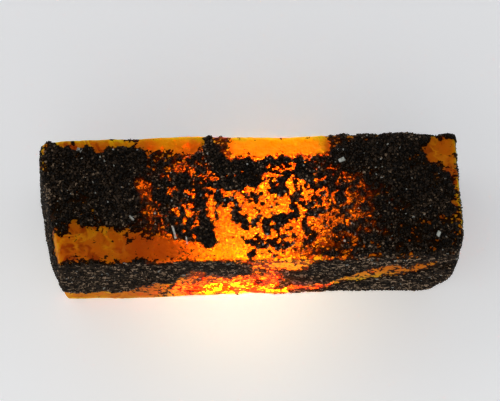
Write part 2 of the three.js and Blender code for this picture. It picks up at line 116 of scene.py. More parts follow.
# where the crust is missing or thin, listed: two x, y ends of a line on the top face, its reach
# and its bareness
topGaps = [
    # back rim, from the left corner to the right
    (-36.6, 10.2, -36.5, 8.4, 1, 1.3), (-33.2, 10.8, -26, 10.6, 1.25, 2.2), (-26, 11, -20, 11, 0.9, 2.1),
    (-30.5, 10, -30.1, 8.6, 0.6, 0.9), (-17.8, 10.3, -9, 10.6, 2, 2.2), (-17.2, 9, -15.8, 8, 1.3, 0.9),
    (-13.8, 9.3, -11, 9.3, 1.6, 1), (-19, 10.4, -18, 9.4, 0.9, 0.9), (-4.3, 11, -1, 10.6, 1.3, 0.85),
    (-3.3, 9, -2.9, 6.8, 0.75, 0.95), (-2, 9, 0, 9.3, 1.6, 1), (-0.5, 9.7, 2.5, 9.6, 2.4, 2.2),
    (2.5, 10.2, 13.2, 10.2, 2.4, 2.2), (8.6, 8.4, 9, 8, 0.8, 0.9), (11, 8.2, 11.3, 7.8, 0.8, 0.9),
    (13.6, 8.4, 14.6, 7.9, 0.7, 0.85), (15.5, 11.4, 19, 11.5, 0.85, 1), (16.2, 10.4, 17.2, 9.9, 0.4, 0.8),
    (21.6, 10.2, 22.8, 10.6, 0.5, 1), (22.8, 10.9, 24.2, 11.3, 0.5, 1),
    # right corner and right rim
    (34.2, 9.6, 36.2, 9.2, 2.1, 2.2), (34.6, 7.2, 36.6, 6.4, 1.6, 2.2), (36.4, 5.2, 37.6, 3.5, 1, 1),
    (38, 5, 38, -2, 1.2, 1.4), (37.8, -2, 37.6, -6, 1.1, 1.2), (37.6, -6, 36.8, -10.5, 0.7, 1),
    (34.2, -5.8, 36.8, -5.6, 0.6, 0.85), (30.6, -5.7, 32.8, -6.1, 0.6, 0.7),
    (35.4, -8.8, 36.2, -8, 0.45, 0.75), (36, -11.2, 36.6, -12, 0.8, 0.8),
    (30.9, 7.1, 31.5, 6.8, 0.55, 0.9),
    # front left, from the peak to the heart
    (-29.3, -4.5, -29.3, -5.5, 0.8, 1), (-28.6, -5, -24.4, -6.4, 0.9, 1.8),
    (-29.8, -6.2, -26.6, -6.9, 1.3, 2.2), (-33, -9.8, -23, -9.6, 3, 2.2),
    (-25.5, -7.6, -23, -7.6, 1.5, 1), (-22, -8.2, -19, -7.8, 1.6, 1.4),
    (-22, -10.2, -14, -10.2, 2.4, 2.1), (-16.5, -8.3, -14, -8.5, 1.4, 1.4),
    (-13.5, -10.2, -8.5, -10.7, 1.7, 1.6), (-8, -10.9, -1.5, -11, 1.6, 1.5),
    (-9.2, -8.2, -8.8, -9.2, 0.5, 0.9),
    # left, dim and small
    (-33.2, -0.6, -32.6, -1, 0.5, 0.6), (-29.4, 0.8, -28.6, -0.9, 0.5, 0.62),
    (-27.6, -1.9, -26.2, -3.6, 0.7, 0.6), (-34.2, -2.8, -33.6, -3.6, 0.5, 0.6),
    (-33.6, -6, -31.9, -5.8, 0.8, 0.7), (-35.8, 6.4, -35.6, 5.2, 0.6, 0.65),
    (-24.2, -5.8, -22.8, -6.1, 0.5, 0.7),
    # left flame and its tail
    (-18.9, 2.8, -17.2, -0.3, 1, 0.95), (-16.8, -0.8, -15.2, -0.9, 0.35, 0.75),
    (-15.2, -1.2, -14.9, -2, 0.35, 0.8), (-14.9, -2.2, -12.6, -2.1, 0.3, 0.75),
    (-18.8, 5.4, -18.8, 4.7, 0.35, 0.75), (-16.8, 6, -16.8, 5.2, 0.3, 0.65),
    # upper left windows
    (-14.4, 4.4, -13.6, 4, 0.7, 0.95), (-13.9, 5.2, -11.8, 5.7, 0.7, 0.95),
    (-13.9, 2.3, -13.2, 1, 0.65, 0.95), (-14, 0.4, -13, -0.1, 0.35, 0.7),
    (-9.4, 5.2, -7.6, 5.9, 0.45, 0.9), (-9.3, 4.6, -8.5, 3.6, 0.6, 0.95),
    (-7.5, 7.5, -6.8, 7.1, 0.35, 0.8), (-10.6, 0.6, -9.6, 0.3, 0.5, 0.9),
    (-9.6, 0.3, -9.4, -0.5, 0.35, 0.8), (-7.8, -0.5, -7.6, -0.8, 0.35, 0.85), (-7, 1, -6.4, 0.8, 0.65, 1),
    (-9, 2.4, -8.2, 2, 0.3, 0.65), (-2.5, 2.4, -2.1, 2.4, 0.3, 0.8), (-1.8, 4.7, -1.4, 4.4, 0.35, 0.85),
    (-3.6, 4.2, -3.2, 4, 0.25, 0.8),
    # lower left embers
    (-10.6, -1.6, -10.1, -3.4, 0.55, 0.95), (-18.3, -3, -17.4, -2.9, 0.6, 0.95),
    (-16.3, -2.7, -16.2, -3.4, 0.5, 0.95), (-13.9, -3.2, -12.2, -2.9, 0.55, 0.95),
    (-14, -4.4, -13.4, -4.2, 0.4, 0.85), (-11.1, -4.4, -10.7, -5, 0.5, 0.85),
    (-19.3, -4.6, -18.4, -4.6, 0.35, 0.7), (-19.5, -5.6, -14.5, -6, 1.2, 0.48),
    (-9.4, -6.8, -8.4, -5.8, 0.55, 0.95), (-8.2, -5.5, -6.8, -5, 0.5, 0.95),
    (-7, -7.9, -6.3, -7.8, 0.35, 0.95),
    # heart, left side
    (-6.8, -1.2, -6.2, -3.6, 0.9, 0.9), (-6.9, -3.6, -5.8, -3.9, 0.6, 0.9),
    (-5.4, -1.7, -3.6, -2.2, 0.7, 0.9), (-4.4, -2.8, -3.6, -4.4, 1.2, 1), (-3.5, -4.8, -3.3, -6, 1.1, 1),
    (-5.2, -5, -4.5, -5.4, 0.6, 0.9), (-2.9, -0.2, -1.6, -1.1, 0.9, 1), (-2.5, -1.6, -2.9, -2, 0.5, 0.85),
    (-2.2, 0.3, 0, 1, 0.55, 0.95), (-1, -3.1, 0.6, -2.8, 0.8, 1), (-0.6, -4, 0.4, -4.3, 0.6, 0.95),
    (-3.2, -6, -1.8, -7, 1.1, 0.95), (-3.8, -7.2, -0.4, -9.2, 2.3, 0.72),
    # heart, middle and right side
    (0.2, 0.6, 2, 0.6, 0.5, 0.9), (2.6, 1.7, 3.4, 0.4, 0.7, 0.95), (0.8, -1.4, 7, -1.6, 1.6, 0.74),
    (0.6, -3.4, 3.2, -3.6, 0.9, 0.95), (4.4, -3.2, 6.6, -3.7, 0.9, 0.95), (6.6, -1.2, 7.6, -3, 0.8, 0.9),
    (1.5, -4.2, 1.9, -4.6, 0.4, 0.9), (7.5, 1.9, 8.6, 0.7, 0.95, 1.3), (7.6, 3.2, 8.9, 3.8, 0.4, 0.95),
    (10.4, 2.3, 11, 2.1, 0.5, 0.95), (11.3, 1.5, 11.6, 1.1, 0.35, 0.9), (12.6, 2.6, 12.5, 1.8, 0.4, 0.95),
    (13.9, 1.5, 14.1, 0.6, 0.28, 0.9), (3.4, 5.4, 4, 6, 0.3, 0.75), (6, 5.1, 6.4, 5.1, 0.45, 0.85),
    (8.1, 5.6, 9.1, 5.7, 0.35, 0.7), (0.9, 4, 1.2, 3.5, 0.35, 0.8), (2.6, 4.5, 3.3, 4.1, 0.4, 0.85),
    (3.2, 3.3, 4.3, 2.6, 0.35, 0.9),
    # heart, front
    (0.2, -5.8, 1.2, -5.5, 0.4, 0.9), (0.6, -7.2, 2.2, -6.9, 0.8, 1), (2.4, -7.8, 3.4, -8.4, 0.6, 0.95),
    (6, -7.4, 7.4, -6.8, 0.7, 1), (7, -7.9, 8, -8.4, 0.6, 0.95), (8.2, -5.8, 9.2, -7.6, 0.9, 0.78),
    (9.2, -8.3, 9.6, -9.6, 0.7, 0.85), (2.2, -10.9, 4.2, -10.6, 0.6, 0.9),
    (5.7, -10.2, 6.2, -11, 0.5, 0.9), (6.8, -10.9, 8.3, -10.4, 0.5, 0.95),
    (1, -12.4, 10, -12.3, 0.9, 0.9), (10, -11.9, 17, -11.8, 0.7, 1.3),
    # right of the heart
    (10.4, -1, 11.3, -0.9, 0.28, 0.85), (12.5, -2, 13.6, -1.2, 0.55, 0.95),
    (13.4, -1.1, 14.3, -0.6, 0.45, 0.9), (13.6, -3, 14, -3.1, 0.35, 0.85),
    (10.4, -3.2, 11.8, -3.1, 0.3, 0.8), (9.8, -2.8, 10.2, -4, 0.6, 0.9), (9.2, -4.6, 8.9, -5.4, 0.7, 0.9),
    (11, -5.8, 12.8, -5.6, 0.9, 1), (11.6, -6.8, 13.6, -7, 0.8, 0.95),
    (14.4, -4.4, 16.4, -4.6, 0.5, 0.95), (15.2, -5.1, 16.6, -5.2, 0.4, 0.85),
    (17.3, -5.7, 18.2, -5.6, 0.4, 0.9), (14.8, -8, 15.2, -7.8, 0.45, 0.9),
    (11, -8, 11.1, -8.8, 0.4, 0.85), (11.2, -9.9, 12.6, -10, 0.6, 0.9), (12.4, -9, 13.8, -9.3, 0.6, 0.9),
    (14, -9.8, 14.6, -10, 0.4, 0.8), (16.2, -11.2, 17.5, -10.6, 0.45, 0.9),
    # far right windows
    (17.6, 2.4, 18.8, 3.2, 0.5, 0.95), (18.8, 3.2, 20, 2.2, 0.4, 0.9), (17.2, 5, 17.9, 5.2, 0.35, 0.85),
    (20.5, 6.1, 20.9, 6.1, 0.3, 0.8), (20.5, 4.6, 20.6, 4, 0.35, 0.8), (20.7, 0.7, 21, 0.6, 0.3, 0.8),
    (21.6, 0.9, 22, 0.7, 0.3, 0.8), (18.4, -1.7, 19.2, -0.8, 0.55, 1), (20.9, -2, 20.9, -1.2, 0.35, 0.9),
    (20.9, -1.2, 21.9, -1.1, 0.3, 0.9), (23, -2.5, 23.8, -2.4, 0.4, 0.9),
    (24.8, -1, 25.2, -0.9, 0.3, 0.8), (18.4, -3.7, 20.2, -4.2, 0.7, 1),
    (21.7, -5.6, 21.8, -6.4, 0.25, 0.85), (22.8, -7, 22.6, -7.8, 0.4, 0.95),
    (23, -8.4, 23.1, -8.9, 0.25, 0.8), (24, -7.2, 25.4, -7.4, 0.25, 0.75),
    (21.9, -9.4, 22.3, -10.4, 0.4, 0.9), (17.4, -7.6, 17.4, -8.8, 0.45, 0.9),
    (18, -8.6, 18.6, -9.3, 0.5, 0.9), (19.3, -8.7, 20, -9.8, 0.4, 0.85),
    (28.9, -9.4, 29.6, -8.6, 0.35, 0.9), (25.3, -9, 25.9, -9.5, 0.3, 0.8),
    (25.8, -12, 27.6, -10.9, 0.5, 0.85), (27.8, -11.8, 31.5, -12.1, 0.4, 0.8),
    (14, -12, 24, -11.9, 0.5, 0.95),
    # a scatter of pinholes
    (12, -1, 21, -5, 5, 0.31), (-15, 4.5, -8, 3.5, 3.6, 0.33), (-16, -3, -9, -4, 3, 0.35),
    (22, -6, 31, -9, 3, 0.42), (1, 4.6, 12, 4.4, 2.6, 0.27), (10, -7.4, 18, -8.6, 2.8, 0.34),
    (31, 6, 34, 4, 2, 0.26), (-33, -2, -27, -2, 2, 0.3), (-6, -0.6, -4, 1, 1.6, 0.3),
    (2, -6, 6, -9, 3, 0.34), (20, 0, 26, -3, 3, 0.4), (4, -11, 12, -11, 2, 0.4),
    (13, 3.5, 21, 3.5, 3, 0.32),
]

# the same on the front face, with two x, z ends
frontGaps = [
    # foot, from the left end to the middle
    (-33.2, 1.6, -20, 2, 2, 2.2), (-20, 1.4, -12, 1, 1.7, 1.6), (-18.6, 7.6, -17.6, 10.4, 0.9, 0.7),
    (-17.8, 3.4, -15.8, 6.4, 2, 1.4), (-19.6, 4, -17, 6, 1.5, 1.1), (-12.8, 3.5, -11.4, 8.5, 1.9, 1.3),
    (-9.4, 5, -9, 12, 1.7, 0.9), (-6.5, 4.6, -5.5, 8.6, 2.5, 1.05), (-1.8, 4.6, -1.2, 8, 2.4, 1.05),
    (3, 4.8, 4.5, 10, 2.1, 0.95), (-14, 1.4, 6, 1.6, 1.6, 0.85),
    # under the bright rim
    (1.5, 10, 1.8, 16, 1.3, 0.8), (5.4, 14.4, 8.8, 14, 1.9, 1.4), (9, 16.4, 10, 16.5, 1.2, 1),
    (4, 16.8, 2, 17, 1, 0.9), (-1.5, 16.2, 3.5, 15.2, 0.9, 1.1), (-0.5, 14.2, 4.5, 13.2, 0.9, 1),
    (4.2, 12, 6.2, 8.6, 0.9, 0.9), (7.5, 3.6, 14.5, 4.4, 1.3, 1), (10.5, 5.2, 13.4, 5, 0.8, 0.95),
    (12.4, 4, 13.8, 3, 0.6, 0.75), (12.2, 11, 12.5, 10.8, 0.4, 0.8),
    # the slant that rises to the right
    (15.7, 6.4, 20.5, 8.9, 1.4, 1.5), (20.5, 9.4, 27, 11, 2.1, 1.5), (26, 10.6, 32.5, 13, 1.7, 1.2),
    (21.5, 13.8, 22.8, 11.5, 0.6, 0.85), (24, 12.6, 26.5, 14.2, 0.7, 0.6),
    (16.5, 4.6, 19.5, 5.6, 0.5, 0.6),
    # reds under the right rim
    (18.6, 13, 18.9, 14, 0.35, 0.75), (20.2, 15.4, 20.6, 17, 0.4, 0.8), (23, 15.5, 23.2, 17, 0.5, 0.8),
    (26, 16.4, 31, 16.7, 0.9, 0.95), (30, 16, 30.2, 17, 0.4, 0.7), (-34.2, 6.5, -34.4, 10.5, 0.5, 0.6),
]

# and on the other faces, with two x, y, z ends
otherGaps = [
    # back face
    (-30, 12.5, 8, -14, 12.5, 11, 5, 1.1), (2, 12.5, 9.5, 14, 12.5, 9.5, 5.8, 1.2),
    (14, 12.5, 6, 24, 12.5, 12, 4, 0.6),
    # right end, left end and its front corner
    (37.9, 6, 9, 37.9, -4, 6, 4.6, 1.2), (-37.3, 5, 5, -37.3, -3, 10, 2, 0.5),
    (-33.6, -7, 16.5, -34.2, -11.5, 14.5, 1.4, 1.2),
    # under the back rim
    (-34, 11.7, 16.6, -8, 12.3, 16.6, 1.6, 1), (-4, 12.4, 16.4, 14, 12.4, 16.4, 1.8, 1),
    # underside, over the torch and to its left
    (-5, 0, 0, 10, 0.6, 0, 13, 1.1), (-28, 3, 0, -18, -5, 0, 3.6, 0.8), (-19, 5, 0, -16, 5, 0, 3, 1),
]

# where the crust is thickest, with the extra cover in the last place, on the top face and on the front
topLumps = [
    (-6.2, 10.8, -5.8, 7, 1, 0.9), (-21, -8.5, -20.3, -8.9, 0.7, 1.2), (-18.2, -10, -17.9, -9.9, 0.25, 1),
    (-17.1, -7.7, -16.9, -9, 0.18, 0.9), (-12.8, -8.5, -12.4, -8.7, 0.35, 1),
    (-12.4, -12.4, -9.8, -12.3, 0.7, 0.8), (-2.3, -2.6, -2, -4.8, 0.45, 0.9),
    (-7.6, -7, -6, -6.6, 1.3, 0.8), (-7.8, -8.8, -5.6, -8.9, 0.5, 0.7),
    (-5.3, -3.2, -5.2, -3.5, 0.5, 0.9), (5.6, -9.2, 8, -9.4, 0.4, 0.7), (3.2, -5.6, 5, -6.4, 0.8, 0.5),
    (0.8, -9.3, 3.6, -9.5, 0.4, 0.5), (-0.6, -10.8, 0.2, -11.2, 0.6, 0.7),
    (-2.6, -11.9, -2, -12, 0.4, 0.8), (-3.2, 10.8, -3, 10.7, 0.35, 0.9), (-1.7, 11, -1.5, 10.9, 0.3, 0.9),
    (-3.9, 9.1, -3.7, 9, 0.4, 0.9), (-0.8, 7.9, -1.2, 8, 0.35, 0.6), (2.2, -0.9, 2.9, -0.6, 0.3, 0.4),
    (4.2, -2.2, 5, -1.9, 0.3, 0.4), (-15.4, 10.2, -15, 10.1, 0.25, 0.9),
    (-17.6, 8.1, -17.1, 8.2, 0.3, 0.7), (-16.4, 3.8, -9.5, 3, 1.4, 0.15), (-12, 3.6, -10, 3, 1.2, 0.5),
    (4, 6.4, 8, 6.6, 0.8, 0.3), (-11.5, 1.8, -12, -1, 0.7, 0.3),
]
frontLumps = [
    (-33, 14.2, -15, 14, 3.1, 1), (-32, 9, -21, 8.6, 3, 1), (-12, 15, -1, 14.6, 1.7, 0.9),
    (-12.3, 4.4, -11.8, 4.2, 0.5, 0.9), (-9, 8.3, -7.4, 8.2, 0.4, 0.8), (-4.8, 5, -4, 5.2, 0.3, 0.8),
    (-1, 12.6, -0.5, 10.5, 0.6, 0.6), (20, 3.5, 33, 5.5, 3, 0.6), (2.2, 13.4, 2.6, 12.4, 0.4, 0.5),
    (-3.4, 3.2, 3, 3, 0.3, 0.4),
]


def onTop(rows):
    # the ends x, y lie at the level of the top face
    level = stoneForm["topZ"]
    return [((a, b, level), (c, d, level), reach, rate) for a, b, c, d, reach, rate in rows]


def onFront(rows):
    # the ends x, z lie on the front face, where y = front + slope * x
    def place(x, z):
        return x, stoneForm["frontY"] + frontSlope * x, z

    return [(place(a, b), place(c, d), reach, rate) for a, b, c, d, reach, rate in rows]


bareStreaks = onTop(topGaps) + onFront(frontGaps)
bareStreaks += [(row[0:3], row[3:6], row[6], row[7]) for row in otherGaps]
thickStreaks = onTop(topLumps) + onFront(frontLumps)

# the stone is crusted where cover is over a half, give or take edge; frontFibres draws the patterns of the
# crust out along x on the front
crustField = dict(
    cover=1, raggedness=(3.6, 4, 0.18, 11), speckle=(0.62, 2, 0.36, 91), warp=(2.2, 3, 0.7, 71), edge=0.06,
    frontFibres=(0.36, 1, 1.3), frontDepth=0.4)


def cornerValue(i, j, k, seed):
    # a fixed random number from 0 to 1 for a corner of a cubic lattice, from multiplied and mixed bits
    i, j, k = [axis.astype(np.int64).astype(np.uint32) for axis in (i, j, k)]
    h = i * np.uint32(0x9e3779b1) ^ j * np.uint32(0x85ebca77) ^ k * np.uint32(0xc2b2ae3d)
    h = h ^ np.uint32(seed * 0x27d4eb2f & 0xffffffff)
    h = (h ^ h >> np.uint32(15)) * np.uint32(0x85ebca6b)
    h = (h ^ h >> np.uint32(13)) * np.uint32(0xc2b2ae35)
    return (h ^ h >> np.uint32(16)) / 2.0**32


def smoothNoise(points, seed):
    # noise from -1 to 1: corner values blended with the weights t*t*(3 - 2t) along each axis
    cell = np.floor(points)
    part = points - cell
    part = part * part * (3 - 2 * part)
    total = 0
    for corner in range(8):
        step = np.array([corner & 1, corner >> 1 & 1, corner >> 2])
        weight = np.prod(np.where(step, part, 1 - part), axis=-1)
        total = total + weight * cornerValue(*np.moveaxis(cell + step, -1, 0), seed)
    return 2 * total - 1


def layeredNoise(points, size, layers, strength, seed):
    # sum over layers n of strength * falloff^n * noise(points * 2^n / size)
    falloff = stoneForm["layerFalloff"]
    noises = [smoothNoise(points * (2.0**n / size), seed + n) for n in range(layers)]
    return sum(strength * falloff**n * noise for n, noise in enumerate(noises))


def smoothStep(low, high, value):
    # t*t*(3 - 2t), where t is how far the value is from low to high, kept within 0 to 1
    t = np.clip((value - low) / (high - low), 0, 1)
    return t * t * (3 - 2 * t)


def nearness(points, start, end, reach):
    # 1 on the line from start to end, falling smoothly to 0 past its reach
    start, end = np.array(start, float), np.array(end, float)
    along = end - start
    share = np.clip((points - start) @ along / (along @ along), 0, 1)
    distance = np.linalg.norm(points - start - share[..., None] * along, axis=-1)
    return 1 - smoothStep(0.55 * reach, 1.35 * reach, distance)


leastSlope, farAway = 1e-3, 1e3  # a face met at less slope than this counts as far away


def meetFaces(boxPoints, form):
    # point = start + run * outward, where start is on the core box and run is the smooth minimum,
    # -k log(sum(exp(-run_i / k))), of the runs to the flat faces; the normals are blended alike
    middle = np.array([0, 0, form["box"][2] / 2])
    half = np.array(form["box"]) / 2 - form["coreDepth"]
    start = np.clip(boxPoints - middle, -half, half) + middle
    outward = boxPoints - start
    outward = outward / np.linalg.norm(outward, axis=-1, keepdims=True)
    runs, normals = [], []
    for through, facing in flatFaces(form):
        normal = np.array(facing) / np.linalg.norm(facing)
        slope = outward @ normal
        run = (np.array(through) - start) @ normal / np.maximum(slope, leastSlope)
        runs.append(np.where(slope > leastSlope, run, farAway))
        normals.append(normal)
    runs = np.array(runs)
    shortest = runs.min(axis=0)
    weights = np.exp((shortest - runs) / form["edgeSoftness"])
    run = shortest - form["edgeSoftness"] * np.log(weights.sum(axis=0))
    normal = np.tensordot(weights, np.array(normals), axes=(0, 0))
    normal = normal / np.linalg.norm(normal, axis=-1, keepdims=True)
    return start + run[..., None] * outward, outward, normal


def onFrontFace(points):
    # true up to frontDepth behind the plane y = front + slope * x
    return points[..., 1] < stoneForm["frontY"] + frontSlope * points[..., 0] + crustField["frontDepth"]


def coverAt(points):
    # base cover + ragged and speckled noise - the barest streak near + the thickest streak near, with
    # the places of the streaks bent by a noise vector; on the front face the noise is drawn out along x
    size, layers, strength, seed = crustField["warp"]
    bend = [layeredNoise(points, size, layers, strength, seed + 10 * axis) for axis in range(3)]
    bent = points + np.stack(bend, axis=-1)
    bare = np.max([rate * nearness(bent, a, b, reach) for a, b, reach, rate in bareStreaks], axis=0)
    thick = np.max([rate * nearness(bent, a, b, reach) for a, b, reach, rate in thickStreaks], axis=0)
    drawn = np.where(onFrontFace(points)[..., None], points * crustField["frontFibres"], points)
    broken = layeredNoise(drawn, *crustField["raggedness"]) + layeredNoise(drawn, *crustField["speckle"])
    return crustField["cover"] + broken - bare + thick


def bareRelief(points):
    # undulation + hackle + the swells near
    relief = layeredNoise(points, *stoneForm["undulation"]) + layeredNoise(points, *stoneForm["hackle"])
    for start, end, reach, rise in swells:
        relief = relief + rise * nearness(points, start, end, reach)
    return relief


def boxSides(form, step, jitter=0, random=None):
    # six grids of points on the box, one for each side, step apart; jitter moves points within the side
    size = np.array(form["box"])
    counts = np.maximum(1, np.round(size / step)).astype(int)
    for axis, (u, v) in ((0, (1, 2)), (1, (2, 0)), (2, (0, 1))):
        for side in (-1, 1):
            shares = [np.linspace(-0.5, 0.5, counts[way] + 1) for way in (u, v)]
            grid = np.meshgrid(*shares, indexing="ij")
            points = np.zeros(grid[0].shape + (3,))
            points[..., u] = grid[0] * size[u]
            points[..., v] = grid[1] * size[v]
            if jitter:
                points[..., [u, v]] += random.uniform(-jitter, jitter, grid[0].shape + (2,))
            points[..., axis] = side * size[axis] / 2
            points[..., 2] += size[2] / 2
            yield side, points


def addMesh(name, points, polygons, smooth=False, **values):
    # points in millimetres, polygons as a whole array of corner numbers; values are kept per point
    mesh = bpy.data.meshes.new(name)
    polygons = np.asarray(polygons)
    mesh.vertices.add(len(points))
    mesh.vertices.foreach_set("co", (np.asarray(points) * toMetres).ravel().astype(np.float32))
    mesh.loops.add(polygons.size)
    mesh.loops.foreach_set("vertex_index", polygons.ravel().astype(np.int32))
    mesh.polygons.add(len(polygons))
    mesh.polygons.foreach_set("loop_start", np.arange(len(polygons), dtype=np.int32) * polygons.shape[1])
    mesh.update(calc_edges=True)
    mesh.polygons.foreach_set("use_smooth", np.full(len(polygons), smooth))
    for label, value in values.items():
        mesh.attributes.new(label, "FLOAT", "POINT").data.foreach_set("value", value.astype(np.float32))
    mesh.validate()
    piece = bpy.data.objects.new(name, mesh)
    bpy.context.collection.objects.link(piece)
    return piece


def mergeAlike(points, polygons):
    # points that share a place become one, so that the six sides join into a closed skin
    keys = np.round(points * 1e4).astype(np.int64)
    unique, first, inverse = np.unique(keys, axis=0, return_index=True, return_inverse=True)
    return first, inverse.reshape(-1)[polygons]


# the stone itself: its skin has squares of size step, and rises under the crust, or sinks on the underside

stoneSkin = dict(step=0.29, crustRise=0.1, undersideSink=0.2)
underBand = (0.6, 0.9)  # how far a face looks down, from where it counts as underside to where fully so


def addStone(skin):
    # the six sides of the box, moved out to the flat faces and the relief, joined along the edges
    blocks, polygons, base = [], [], 0
    for side, points in boxSides(stoneForm, skin["step"]):
        rows, columns = points.shape[:2]
        corner = np.arange(rows * columns).reshape(rows, columns) + base
        quads = np.stack([corner[:-1, :-1], corner[1:, :-1], corner[1:, 1:], corner[:-1, 1:]], axis=-1)
        quads = quads.reshape(-1, 4)
        polygons.append(quads if side > 0 else quads[:, ::-1])
        blocks.append(points.reshape(-1, 3))
        base += rows * columns
    boxPoints = np.concatenate(blocks)
    first, polygons = mergeAlike(boxPoints, np.concatenate(polygons))
    at, outward, normal = meetFaces(boxPoints[first], stoneForm)
    cover = coverAt(at)
    crust = smoothStep(0.5 - crustField["edge"], 0.5 + crustField["edge"], cover)
    under = smoothStep(*underBand, -normal[:, 2])
    relief = bareRelief(at) + crust * (skin["crustRise"] * (1 - under) - skin["undersideSink"] * under)
    points = at + relief[:, None] * outward
    points[:, 2] = np.maximum(points[:, 2], 0)
    stone = addMesh("stone", points, polygons, smooth=True, cover=cover)
    print("stone:", len(points), "points,", 2 * len(polygons), "triangles")
    return stone


stone = addStone(stoneSkin)
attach(stone, "root")
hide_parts("sapphire")


# the mica crust: grains are irregular six-sided chips that sit a little over the stone, and in it on the
# underside. On the front they are drawn out along x and hardly turned, and their tones run lighter, a
# painted sheen of grazing light over the crust's own streaks. Tone runs from 0, black, to 1, a painted
# glint.

crustGrains = dict(
    spacing=0.285, jitter=0.6, smallest=0.18, largest=0.4, thinnest=0.45, fullFrom=(0.48, 0.8), seed=5,
    narrowest=0.6, flattest=0.35, flatness=0.806, lift=0.2, seat=0.04, undersideSink=0.15, straggle=0.035,
    roughness=0.17, sideSlope=0.7, fibres=(1.5, 0.5, 0.5), fibreTilt=0.1,
    toneSpread=0.9, palestTone=0.9, palePatches=(4.2, 3, 0.1, 57), paintedGlintsFrom=0.993,
    frontToneAndSheen=(0.25, 0.72, 0.985), frontShades=(0.45, 2, 0.34, 63), shadeStretch=(0.6, 1, 1.2))


def turns(random, count, tilt):
    # rotation matrices from random unit quaternions (w, x, y, z), near no turn where the tilt is small
    q = random.normal(size=(count, 4)) * np.stack([np.ones(count), tilt, tilt, tilt], axis=1)
    w, x, y, z = (q / np.linalg.norm(q, axis=1, keepdims=True)).T
    rows = [
        [1 - 2 * (y * y + z * z), 2 * (x * y - z * w), 2 * (x * z + y * w)],
        [2 * (x * y + z * w), 1 - 2 * (x * x + z * z), 2 * (y * z - x * w)],
        [2 * (x * z - y * w), 2 * (y * z + x * w), 1 - 2 * (x * x + y * y)],
    ]
    return np.moveaxis(np.array(rows), -1, 0)


chipCorners = np.array([(x, y, z) for x in (-1, 1) for y in (-1, 1) for z in (-1, 1)]) * 0.5
chipSides = np.array([(0, 1, 3, 2), (4, 6, 7, 5), (0, 4, 5, 1), (2, 3, 7, 6), (0, 2, 6, 4), (1, 5, 7, 3)])


def chips(random, centres, sizes, tilt, roughness):
    # corners = centre + turn @ (box corner * size), each corner first moved by up to roughness sizes
    count = len(centres)
    corners = chipCorners[None] + random.uniform(-roughness, roughness, (count, 8, 3))
    corners = corners * sizes[:, None, :]
    corners = np.einsum("nij,nkj->nki", turns(random, count, tilt), corners) + centres[:, None, :]
    corners[..., 2] = np.maximum(corners[..., 2], 0)
    polygons = chipSides[None] + 8 * np.arange(count)[:, None, None]
    return corners.reshape(-1, 3), polygons.reshape(-1, 4)


def crustSites(grains):
    # jittered points over the whole stone where cover + straggle * chance is over a half, each with its
    # centre = place on the flat faces + outward * (relief + rise), or - sink on the underside
    random = np.random.default_rng(grains["seed"])
    sites = []
    for side, points in boxSides(stoneForm, grains["spacing"], grains["jitter"] * grains["spacing"], random):
        at, outward, normal = meetFaces(points.reshape(-1, 3), stoneForm)
        cover = coverAt(at)
        keep = cover + random.normal(0, grains["straggle"], len(cover)) > 0.5
        relief = bareRelief(at[keep])
        rise = random.uniform(0, grains["lift"], keep.sum()) + grains["seat"]
        under = smoothStep(*underBand, -normal[keep][:, 2])
        height = relief + rise * (1 - under) - grains["undersideSink"] * under
        centres = at[keep] + outward[keep] * height[:, None]
        sites.append((centres, cover[keep], normal[keep]))
    return random, [np.concatenate(part) for part in zip(*sites)]


def grainSizes(random, grains, cover):
    # length = chance from smallest to largest, less where the crust is thin; width and thickness are
    # chance shares of it
    size = random.uniform(grains["smallest"], grains["largest"], len(cover))
    size = size * (grains["thinnest"] + (1 - grains["thinnest"]) * smoothStep(*grains["fullFrom"], cover))
    width = random.uniform(grains["narrowest"], 1, len(cover))
    thickness = random.uniform(grains["flattest"], 1, len(cover)) * grains["flatness"]
    return size[:, None] * np.stack([np.ones(len(cover)), width, thickness], axis=1)


def grainTones(grains, centres, chance, front):
    # spread * chance + patches, or on the front base + spread * chance + shades, lighter there as a painted
    # sheen, and 1 for a painted glint
    tone = grains["toneSpread"] * chance + layeredNoise(centres, *grains["palePatches"])
    tone = np.clip(tone, 0, grains["palestTone"])
    # the front's higher base and palest tone paint the sheen of grazing light over its streaks
    base, spread, palest = grains["frontToneAndSheen"]
    shades = layeredNoise(centres * grains["shadeStretch"], *grains["frontShades"])
    tone = np.where(front, np.clip(base + spread * chance + shades, 0, palest), tone)
    # tone 1 paints a glint into a few grains' colour
    return np.where(chance > grains["paintedGlintsFrom"], 1, tone)


def addCrust(grains):
    # the grains are shared out to six pieces by which way the face under them looks
    random, (centres, cover, normal) = crustSites(grains)
    sizes = grainSizes(random, grains, cover)
    chance = random.uniform(0, 1, len(centres))
    slope = grains["sideSlope"]
    above, below = normal[:, 2] > slope, normal[:, 2] < -slope
    ahead, behind = normal[:, 1] < -slope, normal[:, 1] > slope
    regions = dict(
        crust_top_left=above & (centres[:, 0] < 0),
        crust_top_right=above & (centres[:, 0] >= 0),
        crust_front=~above & ahead,
        crust_back=~above & behind,
        crust_ends=~(above | below | ahead | behind),
        crust_underside=below)
    front = regions["crust_front"]
    tone = grainTones(grains, centres, chance, front)
    sizes = np.where(front[:, None], sizes * grains["fibres"], sizes)
    tilt = np.where(front, grains["fibreTilt"], 1)
    pieces = []
    for name, chosen in regions.items():
        points, polygons = chips(random, centres[chosen], sizes[chosen], tilt[chosen], grains["roughness"])
        piece = addMesh(name, points, polygons, tone=np.repeat(tone[chosen], 8))
        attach(piece, "root")
        pieces.append(piece)
        print(name + ":", chosen.sum(), "grains,", 2 * len(polygons), "triangles")
    return pieces


crustPieces = addCrust(crustGrains)


# pale mica flakes and needles: middle, length, width, and turn in degrees about the z axis

